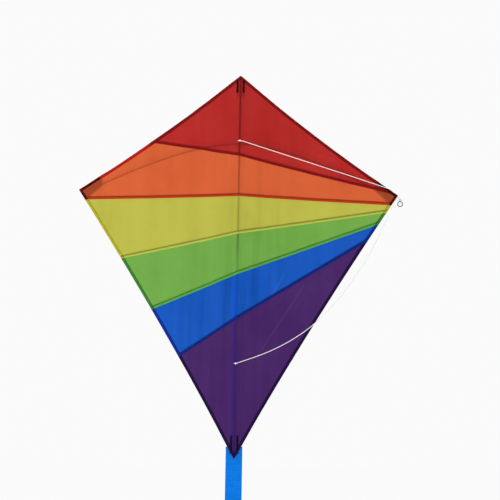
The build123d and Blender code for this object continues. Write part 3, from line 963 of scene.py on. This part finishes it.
def panelColumns(index, side):
    fine = np.linspace(0, tip[0] - 1e-5, 6001)
    foot, head, lap = panelLimits(index, side, fine)
    last = np.nonzero(lap - foot > 2e-5)[0][-1]
    reach = fine[last]
    columns = list(np.linspace(0, reach, max(6, int(reach / sail["cell"]))))
    onSeam = [(foot > trailingAt(fine) + 1e-9), (head < leadingAt(fine) - 1e-9), (lap < leadingAt(fine) - 1e-9)]
    for flags in onSeam:
        for k in np.nonzero(np.diff(flags[:last].astype(int)))[0]:
            nearest = int(np.argmin(np.abs(np.array(columns) - fine[k])))
            if 0 < nearest < len(columns) - 1:
                columns[nearest] = fine[k]
    return np.array(columns)


def panel(index, side):
    colour = sail["panels"][index]
    columns = panelColumns(index, side)
    foot, head, lap = panelLimits(index, side, columns)
    rows = max(5, int((head - foot).max() / sail["cell"]))
    share = np.linspace(0, 1, rows)[:, None]
    z = foot + (head - foot) * share
    z = np.concatenate([z, head + (lap - head) * np.array(hems["lapRows"])[:, None]])
    u = np.broadcast_to(columns, z.shape)
    below = z - head
    behind = hems["layerGap"] * np.where(below > 0, 1, np.clip(1 + below / hems["stepOver"], 0, 1))
    if index == 0:
        behind = np.zeros_like(z)
    points = sailPoint(side, u, z, behind).reshape(-1, 3)
    flat = np.stack([u.ravel(), z.ravel()], 1)
    faces = gridFaces(len(z), len(columns), flip=side == "left")
    mainFlat, mainFaces = flat, list(faces)
    seamHeight = np.ones(len(flat))
    if index < len(seams):
        (x0, z0), (x1, z1) = seams[index]
        seamHeight = (flat[:, 1] - seamAt(index, side, flat[:, 0])) / hypot(1, (z1 - z0) / (x1 - x0))
    edge = lineDistance(flat, trailingLine)
    # the hem: the outer edge turned to the back
    onEdge = columns[np.isclose(foot, trailingAt(columns), atol=2e-5)]
    if len(onEdge) > 1:
        step = 1e-5
        slope = (trailingAt(onEdge + step) - trailingAt(onEdge - step)) / (2 * step)
        size = np.hypot(1, slope)
        inU, inZ = -np.abs(slope) / size, 1 / size
        rings = []
        for inset, gap in hems["turn"]:
            au = np.maximum(onEdge + inU * inset, 0.0)
            az = trailingAt(onEdge) + inZ * inset
            rings.append((au, az, gap))
        base = len(points)
        for au, az, gap in rings:
            points = np.concatenate([points, sailPoint(side, au, az, gap)])
            flat = np.concatenate([flat, np.stack([au, az], 1)])
        hemFaces = gridFaces(len(rings), len(onEdge), flip=side == "right")
        faces = faces + [tuple(base + k for k in face) for face in hemFaces]
        extra = len(points) - base
        edge = np.concatenate([edge, np.zeros(extra)])
        seamHeight = np.concatenate([seamHeight, np.ones(extra)])
    uv = flat * (signOf[side], 1.0)
    highlightGap = np.ones(len(flat))
    for highlightSide, a, b in creaseHighlightLines:
        if highlightSide == side:
            highlightGap = np.minimum(highlightGap, lineDistance(flat, np.array([a, b])))
    layers = {
        "foldMark": highlightGap,
        "edgeDistance": edge,
        "seamHeight": seamHeight,
        "rodOffset": flat[:, 1] + spreaderDrop(flat[:, 0]),
        "pocketOffset": outsidePolygon(tipPocketCorners(), flat[:, 0], flat[:, 1]),
    }
    made = newPiece(f"{colour}_cloth_{side}", points, faces, clothOf[colour], uv, layers)
    tidyMesh(made, 2e-6)
    area = flatArea(mainFlat, mainFaces)
    if len(onEdge) > 1:
        area += hems["width"] * float(np.hypot(np.diff(onEdge), np.diff(trailingAt(onEdge))).sum())
    width, length = cutSize(mainFlat)
    width, length = width + hems["width"], length + hems["width"]
    fitted(made, side, f"{colour}_cloth", f"{colour}_panel_{side}")


for side in signOf:
    for index in range(len(sail["panels"])):
        panel(index, side)
print("panels ready")


def along(line, inset, behind, side, start=0.0, end=1.0, step=0.0012):
    # points beside one of the sail's edges
    run = np.concatenate([[0], np.cumsum(np.hypot(*np.diff(line, axis=0).T))])
    at = np.linspace(run[-1] * start, run[-1] * end, max(3, int(run[-1] * (end - start) / step)))
    u, z = np.interp(at, run, line[:, 0]), np.interp(at, run, line[:, 1])
    du, dz = np.gradient(u), np.gradient(z)
    size = np.hypot(du, dz)
    u, z = u + dz / size * inset, z - du / size * inset
    u = np.maximum(u, 0.0002)
    return sailPoint(side, u, np.maximum(z, trailingAt(u)) if line is leadingLine else z, behind)


def bindingStrip(side):
    w, n, t = binding["width"], binding["behind"], binding["thickness"]
    outer = [(w, -n), (w * 0.6, -n * 1.06), (w * 0.2, -n * 1.04), (0.0003, -n * 0.85), (-0.0002, -n * 0.4),
             (-0.0002, n * 0.4), (0.0003, n * 0.85), (w * 0.2, n * 1.04), (w * 0.6, n * 1.06), (w, n)]
    inner = [(w, n - t), (w * 0.5, n - t), (0.0006, n * 0.3), (0.0006, -n * 0.3), (w * 0.5, t - n), (w, t - n)]
    profile = outer + inner
    start, step = binding["start"], binding["step"]
    rings = [along(leadingLine, inset, gap, side, start, 1.0, step) for inset, gap in profile]
    points = np.concatenate(rings)
    count, stations = len(profile), len(rings[0])
    across = np.cumsum([0] + [hypot(b[0] - a[0], b[1] - a[1]) for a, b in zip(profile, profile[1:])])
    uv = [(s * step, a) for a in across for s in range(stations)]
    faces = []
    for k in range(count):
        m = (k + 1) % count
        for s in range(stations - 1):
            quad = (k * stations + s, m * stations + s, m * stations + s + 1, k * stations + s + 1)
            faces.append(quad if side == "left" else quad[::-1])
    for s, turn in ((0, 1), (stations - 1, -1)):
        ring = tuple(k * stations + s for k in range(count))
        faces.append(ring[::turn * (1 if side == "right" else -1)])
    # painted light: the tape is drawn brighter where the orange cloth lies under it, which only reaches the
    # left leading edge
    run = np.linspace(start, 1.0, stations)
    pale = (run > sail["firstSeamLeft"]) * 1.0 if side == "left" else np.zeros(stations)
    made = newPiece(f"leading_edge_tape_{side}", points, faces, tapeMaterial, uv,
                    {"overPale": np.tile(pale, count)})
    fitted(made, side, "binding_tape", f"leading_edge_binding_{side}")


threads = {
    # faces are how far behind the cloth the thread runs on its front and on its back
    "zigzag": {"pitch": 0.0054, "width": 0.0032, "radius": 0.00039, "above": 0.005,
               "faces": (-0.00022, 0.00062)},
    "running": {"pitch": 0.003, "length": 0.00125, "radius": 0.0003, "faces": (-0.00012, 0.00052)},
    "tack": {"pitch": 0.0006, "tipPitch": 0.0009, "radius": 0.00021},
}
seamThread = {"red": (112, 8, 12), "orange": (84, 6, 9), "yellow": (44, 46, 6), "green": (4, 50, 20),
              "blue": (6, 26, 104), "purple": (30, 4, 54)}
threadOf = {name: grainMaterial(f"{name} seam thread", colour, 0.7, 3000.0, 0.0001, shine=0.1)
            for name, colour in seamThread.items()}
tapeThread = grainMaterial("dark red thread", (92, 6, 10), 0.7, 3000.0, 0.0001, shine=0.1)


def seamLine(index, side, behind):
    (x0, z0), (x1, z1) = seams[index]
    rise = threads["zigzag"]["above"] * hypot(1, (z1 - z0) / (x1 - x0))
    u = np.linspace(0.0, tip[0], 400)
    z = seamAt(index, side, u) + rise
    inside = (z < leadingAt(u) - binding["width"] * 1.05) & (z > trailingAt(u) + 0.004)
    return sailPoint(side, u[inside], z[inside], behind)


def hemShare(index, side, fallback):
    # where a seam meets the trailing edge, as a share of it from the tip
    if index == 0 or index == len(seams):
        return fallback
    return sail["lowerSeams"][index - 1][0 if side == "left" else 1]


tacks = {
    "besideSpine": 0.0062,
    "nose": (nose[1] - 0.0095, nose[1] - 0.035, -0.00085, 0.0040),  # top, bottom, behind the cloth, width
    "tail": (tail[1] + 0.045, tail[1] + 0.017, -0.00045, 0.0036),
    "tipLeading": (0.05, 0.0012, 0.0032, 0.0052),  # from and to the tip, in from the edge, width
    "tipTrailing": (0.0062, 0.0265, 0.0024, 0.0038),
}


def sewn(name, side, slot, kind, lines, width, material):
    # stitches of one kind along lines of a wing
    look = threads[kind]
    tree, step = (zigzagTree, look["pitch"] / 2) if "width" in look else (runningTree, look["pitch"])
    made = stitched(name, tree, lines, step, width, look["radius"], facingOf(side), material)
    fitted(made, side, slot)


def tackRows(side, line, width, pitch="pitch"):
    # dense black zigzag
    look = threads["tack"]
    return stitched("tack", zigzagTree, [line], look[pitch] / 2, width, look["radius"], facingOf(side),
                    blackThread)


def spineTack(side, end, top, bottom, behind, width):
    line = sailPoint(side, np.full(40, tacks["besideSpine"]), np.linspace(top, bottom, 40), behind)
    made = tackRows(side, line, width)
    made.name = f"{end}_tack_{side}"
    fitted(made, side, "black_thread", f"{end}_bar_tack_{side}")


for side in signOf:
    bindingStrip(side)
    zigzag, running = threads["zigzag"], threads["running"]
    for index in range(len(seams)):
        name = sail["panels"][index]
        lines = [seamLine(index, side, gap) for gap in zigzag["faces"]]
        sewn(f"{name}_seam_stitches_{side}", side, f"{name}_cloth", "zigzag", lines, zigzag["width"],
             threadOf[name])
    front, ends = binding["behind"] * 1.1, binding["stitchEnds"]
    lines = [along(leadingLine, binding["stitchIn"], gap, side, *ends) for gap in (-front, front)]
    sewn(f"tape_stitches_{side}", side, "binding_tape", "running", lines, running["length"], tapeThread)
    # the hem's thread matches each panel
    for index, name in list(enumerate(sail["panels"]))[1:]:
        begin, end = (hemShare(index - 1 + k, side, hems["stitchEnds"][k]) for k in (0, 1))
        lines = [along(trailingLine, hems["stitchIn"], gap, side, begin, end) for gap in running["faces"]]
        sewn(f"{name}_hem_stitches_{side}", side, f"{name}_cloth", "running", lines, running["length"],
             threadOf[name])
    # bar tacks at the nose, the tail and both edges of the tip
    for end in ("nose", "tail"):
        spineTack(side, end, *tacks[end])
    start, stop, inset, width = tacks["tipLeading"]
    behind = -binding["behind"] * 1.5
    line = along(leadingLine, inset, behind, side, 1 - start / leadingRun, 1 - stop / leadingRun)
    upperTack = tackRows(side, line, width, "tipPitch")
    start, stop, inset, width = tacks["tipTrailing"]
    line = along(trailingLine, inset, -0.00045, side, start / trailingRun, stop / trailingRun)
    lowerTack = tackRows(side, line, width, "tipPitch")
    made = joined(f"tip_tacks_{side}", [upperTack, lowerTack])
    fitted(made, f"{side}_wing", "black_thread", f"tip_bar_tacks_{side}")
print("stitching ready")


def spreaderPoint(u):
    # the bow's axis on the right, in the kite's frame
    s, a = spreader, sail["sweep"]
    bendR = s["bend"] / sin(a)
    swept = s["behindSpine"] + bendR * (1 - cos(a))
    end = flatWing(s["outerTo"], 0, s["overCloth"])
    if u <= s["bend"]:
        return (u, s["behindSpine"] + bendR - (bendR**2 - u**2) ** 0.5, -float(spreaderDrop(u)))
    share = (u - s["bend"]) / (s["outerTo"] - s["bend"])
    return (s["bend"] + (end.x - s["bend"]) * share, swept + (end.y - swept) * share, -float(spreaderDrop(u)))


def flatOf(point):
    # a point of the kite's frame as (u, z, behind) in the flat right wing
    a = sail["sweep"]
    x, y = point[0], point[1] - sail["foldY"]
    return (x * cos(a) + y * sin(a), point[2], y * cos(a) - x * sin(a))


rodLine = np.array([flatOf(spreaderPoint(u)) for u in np.linspace(0, spreader["outerTo"], 160)])

for side in signOf:
    path = np.array([spreaderPoint(u) for u in np.linspace(0, spreader["outerTo"], 130)])
    path[:, 0] *= signOf[side]
    rod = tube(f"spreader_rod_{side}", path, spreader["diameter"] / 2, rodMaterial, 20)
    fitted(rod, side, "rod", f"spreader_{side}")

pocket = {
    "flange": 0.0015,
    "cap": 0.0021,
    "slack": 0.00035,
    "pastRod": 0.0018,
    "skirt": 0.0022,
    "columns": 56,
    "rows": 40,
    "stitchInset": 0.06,
    "cloth": 0.0003,
    "pitch": 0.003,
    "stitch": 0.00105,
    "thread": 0.00022,
}


def thickened(made):
    solid = made.modifiers.new("thickness", "SOLIDIFY")
    solid.thickness = pocket["cloth"]
    solid.offset = 0


def tipPocket(side):
    # a flange sewn flat to the cloth, rising in a sleeve over the capped rod
    c = [np.array(p) for p in tipPocketCorners()]
    rows, columns = pocket["rows"], pocket["columns"]
    s, t = np.meshgrid(np.linspace(0, 1, columns), np.linspace(0, 1, rows))
    s, t = s[..., None], t[..., None]
    grid = c[0] * (1 - s) * (1 - t) + c[1] * s * (1 - t) + c[2] * s * t + c[3] * (1 - s) * t
    u, z = grid[..., 0], grid[..., 1]
    reach = pocket["cap"] + pocket["slack"]
    rod = rodLine[rodLine[:, 0] > 0.24]
    lastStep = rod[-1, :2] - rod[-2, :2]
    plan = np.vstack([rod[:, :2], rod[-1, :2] + lastStep / np.linalg.norm(lastStep) * pocket["pastRod"]])
    gap = lineDistance(np.stack([u.ravel(), z.ravel()], 1), plan).reshape(u.shape)
    axis = np.interp(u, rod[:, 0], rod[:, 2])
    top = axis + np.sqrt(np.clip(reach**2 - gap**2, 0, None))
    skirt = axis * np.clip(1 - (gap - reach * 0.94) / pocket["skirt"], 0, 1) ** 1.6
    behind = np.maximum(pocket["flange"], np.where(gap < reach, top, skirt))
    points = sweptPoint(side, u, z, behind + slackBehind(side, u, z) * 0.5)
    uv = np.stack([u * signOf[side], z], -1).reshape(-1, 2)
    made = newPiece(f"tip_pocket_cloth_{side}", points.reshape(-1, 3),
                    gridFaces(rows, columns, flip=side == "left"), pocketMaterial, uv)
    # stitched round the three closed sides
    near, far = pocket["stitchInset"], 1 - pocket["stitchInset"]
    corners = [(far, near), (near, near), (near, far), (far, far)]
    edge = []
    for a, b in zip(corners, corners[1:]):
        k = np.linspace(0, 1, 40)
        column = ((a[0] + (b[0] - a[0]) * k) * (columns - 1)).round().astype(int)
        row = ((a[1] + (b[1] - a[1]) * k) * (rows - 1)).round().astype(int)
        edge.append(points[row, column] - np.array(facingOf(side)) * 0.00012)
    thread = stitched(f"tip_pocket_stitches_{side}", runningTree, edge, pocket["pitch"], pocket["stitch"],
                      pocket["thread"], facingOf(side), blackThread)
    thickened(made)
    fitted(made, f"{side}_wing", "pocket_cloth", f"tip_pocket_{side}")
    fitted(thread, f"{side}_wing", "black_thread")


sleeve = {
    "length": 0.034,
    "reach": 0.00335,
    "wing": 0.0085,
    "shutBy": 0.055,
    "stitchBeside": 0.0072,
    "stitchEnd": 0.0015,
    "pitch": 0.0026,
    "stitch": 0.00095,
}


def spinePocket(name, closed, up, nodeName):
    # a sleeve over the end of the spine, open towards its middle, with flat sides sewn to the cloth
    length, reach, wing = sleeve["length"], sleeve["reach"], sleeve["wing"]
    across = [-wing, -wing * 0.8, -0.0046, -0.0039, -0.0034]
    depth = [0.0, 0.0, 0.0, 0.0009, 0.0022]
    profile = [(a, d + clothBack(a)) for a, d in zip(across, depth)]
    profile += [(reach * cos(t), reach * sin(t)) for t in np.linspace(pi, 0, 15)]
    profile += [(-a, d + clothBack(a)) for a, d in zip(across[::-1], depth[::-1])]
    steps = np.linspace(0, 1, 24)
    points, uv = [], []
    for s in steps:
        z = closed - up * length * s
        shut = min(1.0, s / sleeve["shutBy"])  # the closed end is pressed flat and sewn
        for a, y in profile:
            flat = clothBack(a)
            points.append((a, flat + (y - flat) * (0.15 + 0.85 * shut**0.6), z))
            uv.append((a, z))
    made = newPiece(name, points, gridFaces(len(steps), len(profile), flip=up < 0), pocketMaterial, uv)
    thickened(made)
    fitted(made, "spine", "pocket_cloth", nodeName)
    rows = []
    start, run = sleeve["stitchEnd"], length - sleeve["stitchEnd"] * 2
    for x in (-sleeve["stitchBeside"], sleeve["stitchBeside"]):
        rows.append(np.array([(x, clothBack(x) + 0.0003, closed - up * (start + k * run)) for k in steps]))
    thread = stitched(f"{name}_stitches", runningTree, rows, sleeve["pitch"], sleeve["stitch"],
                      pocket["thread"], (0, 1, 0), blackThread)
    fitted(thread, "spine", "black_thread")


def clothBack(x):
    return float(sweptPoint("right", np.float64(abs(x)), 0.0, 0.0007)[1])


for side in signOf:
    tipPocket(side)
spinePocket("nose_pocket_cloth", nose[1] - 0.0102, 1, "nose_pocket")
spinePocket("tail_pocket_cloth", tail[1] + 0.0102, -1, "tail_pocket")
print("pockets ready")


ribbon = {
    "width": 0.032,
    "y": 0.0062,
    "sewnTop": tail[1] + 0.024,
    "hinge": tail[1] - 0.003,
    "bundleTop": tail[1] - 0.095,
    "bundleLength": 0.104,
    "passes": 18,
    "halfEnd": 0.0069,
    "halfWaist": 0.0041,
    "sewnBack": 0.0019,
    "wave": 0.0007,
    "reachIn": 0.034,
    "turnIn": 0.0035,
    "turnSag": 0.0019,
    "uneven": 0.002,
    "aside": 0.0013,
    "freeRows": 46,
    "pitch": 0.0022,
    "stitch": 0.0009,
}


def bundleHalf(z):
    # half the bundle's thickness at a height
    r = ribbon
    share = np.clip((r["bundleTop"] - z) / r["bundleLength"], 0, 1)
    return r["halfWaist"] + (r["halfEnd"] - r["halfWaist"]) * np.abs(2 * share - 1) ** 1.7


def ribbonPath():
    # (y, z, sideways shift) down the hanging part and through every pass of the bundle
    r = ribbon
    random = np.random.default_rng(7)
    path = []
    first = r["y"] - r["halfEnd"]
    for z in np.linspace(r["sewnTop"], r["bundleTop"] - 0.002, r["freeRows"]):
        sewnShare = np.clip((z - (tail[1] + 0.002)) / 0.012, 0, 1)
        low = np.clip((r["bundleTop"] + r["reachIn"] - z) / r["reachIn"], 0, 1)
        y = r["y"] - r["sewnBack"] * sewnShare + (first - r["y"]) * low * low * (3 - 2 * low)
        y += r["wave"] * sin((z - tail[1]) * 62) * (1 - sewnShare) * (1 - low)
        path.append((y, z, 0.0))
    shift = 0.0
    for k in range(r["passes"]):
        level, nextLevel = (-1 + 2 * (k + step) / r["passes"] for step in (0.5, 1.5))
        down = k % 2 == 0
        top, bottom = r["bundleTop"] - r["turnIn"], r["bundleTop"] - r["bundleLength"] + r["turnIn"]
        top += random.uniform(-r["uneven"], r["uneven"])
        bottom += random.uniform(-r["uneven"], r["uneven"])
        begin, end = (top, bottom) if down else (bottom, top)
        nextShift = random.uniform(-r["aside"], r["aside"])
        for s in np.linspace(0, 1, 16):
            z = begin + (end - begin) * s
            path.append((r["y"] + level * bundleHalf(z), z, shift + (nextShift - shift) * s))
        shift = nextShift
        if k < r["passes"] - 1:
            # a soft loop into the next pass
            y0, y1 = r["y"] + level * bundleHalf(end), r["y"] + nextLevel * bundleHalf(end)
            for t in np.linspace(0, pi, 7)[1:-1]:
                sag = sin(t) * r["turnSag"] * (-1 if down else 1)
                path.append(((y0 + y1) / 2 - (y1 - y0) / 2 * cos(t), end + sag, shift))
    return path


path = ribbonPath()
widths = np.linspace(-0.5, 0.5, 9)
points, uv = [], []
run = 0.0
for k, (y, z, shift) in enumerate(path):
    if k:
        run += hypot(y - path[k - 1][0], z - path[k - 1][1])
    for w in widths:
        cup = 0.0007 * (abs(w) * 2) ** 2 if z > ribbon["bundleTop"] + 0.01 and z < tail[1] else 0.0
        points.append((w * ribbon["width"] + shift, y + cup, z))
        uv.append((w * ribbon["width"], run))
made = newPiece("tail_ribbon_cloth", points, gridFaces(len(path), len(widths), flip=True), ribbonMaterial, uv)
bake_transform(made)
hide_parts("tail_ribbon_sewn_end", "tail_ribbon", "tail_ribbon_bundle")
print("ribbon length", round(run, 3))

boxTop, boxBottom = ribbon["sewnTop"] - 0.003, ribbon["sewnTop"] - 0.019
free = path[:ribbon["freeRows"]]
rows = []
for a, b in (((-1, boxTop), (1, boxTop)), ((1, boxTop), (1, boxBottom)), ((1, boxBottom), (-1, boxBottom)),
             ((-1, boxBottom), (-1, boxTop)), ((-1, boxTop), (1, boxBottom)), ((1, boxTop), (-1, boxBottom))):
    k = np.linspace(0, 1, 20)
    z = a[1] + (b[1] - a[1]) * k
    x = (a[0] + (b[0] - a[0]) * k) * 0.0055
    y = np.interp(-z, [-p[1] for p in free], [p[0] for p in free]) + 0.00015
    rows.append(np.stack([x, y, z], 1))
made = stitched("ribbon_box_stitches", runningTree, rows, ribbon["pitch"], ribbon["stitch"], pocket["thread"],
                (0, 1, 0), blackThread)
fitted(made, "spine", "ribbon_cloth")


# CAD pieces that are shown as they are
shownAs = {
    "spine_rod": rodMaterial,
    "spine_top_cap": rubberMaterial,
    "spine_bottom_cap": rubberMaterial,
    "spreader_cap_left": rubberMaterial,
    "spreader_cap_right": rubberMaterial,
    "cross_fitting": plasticMaterial,
    "tow_ring": metalMaterial,
    "bundle_band": elasticMaterial,
}
for name, material in shownAs.items():
    shown = bpy.data.objects[name].data.materials
    shown.clear()
    shown.append(material)

stage = {
    "floor": -1.12,
    "half": 30.0,
    "tone": 0.9,
    "glow": 0.7,
    "skyLight": 0.28,
    "skySeen": 0.96,
    "aim": (0.0, 0.0, -0.25),
    # place, size and power
    "lights": {
        "front left": ((-2.6, -2.2, 1.5), 1.6, 37),
        "front right": ((2.6, -2.4, 1.1), 1.6, 18),
        "above": ((0.0, -0.2, 2.8), 2.2, 16),
        "behind": ((0.6, 2.6, 0.9), 1.6, 16),
    },
}
floorMesh = bpy.data.meshes.new("floor")
half = stage["half"]
floorMesh.from_pydata([(x * half, y * half, stage["floor"]) for x, y in ((-1, -1), (1, -1), (1, 1), (-1, 1))],
                      [], [(0, 1, 2, 3)])
floor = linked("floor", floorMesh)
floorLook, tree = newMaterial("plain pale floor")
shader = node(tree, "ShaderNodeBsdfDiffuse")
shader.inputs["Color"].default_value = (stage["tone"],) * 3 + (1,)
glow = node(tree, "ShaderNodeEmission", Strength=stage["glow"])
node(tree, "ShaderNodeOutputMaterial", Surface=node(tree, "ShaderNodeAddShader", i0=shader.outputs[0],
                                                    i1=glow.outputs[0]).outputs[0])
floorMesh.materials.append(floorLook)


for name, (place, size, power) in stage["lights"].items():
    data = bpy.data.lights.new(name, "AREA")
    data.size = size
    data.energy = power
    light = linked(name, data)
    light.location = place
    light.rotation_euler = (Vector(stage["aim"]) - Vector(place)).to_track_quat("-Z", "Y").to_euler()

world = bpy.data.worlds.new("pale studio")
world.use_nodes = True
background = world.node_tree.nodes["Background"]
background.inputs["Color"].default_value = (1, 1, 1, 1)
seen = node(world.node_tree, "ShaderNodeLightPath").outputs["Is Camera Ray"]
strength = node(world.node_tree, "ShaderNodeMapRange", i0=seen, i3=stage["skyLight"], i4=stage["skySeen"])
world.node_tree.links.new(strength.outputs[0], background.inputs["Strength"])
bpy.context.scene.world = world
bpy.context.scene.view_settings.view_transform = "Standard"

print("scene ready")
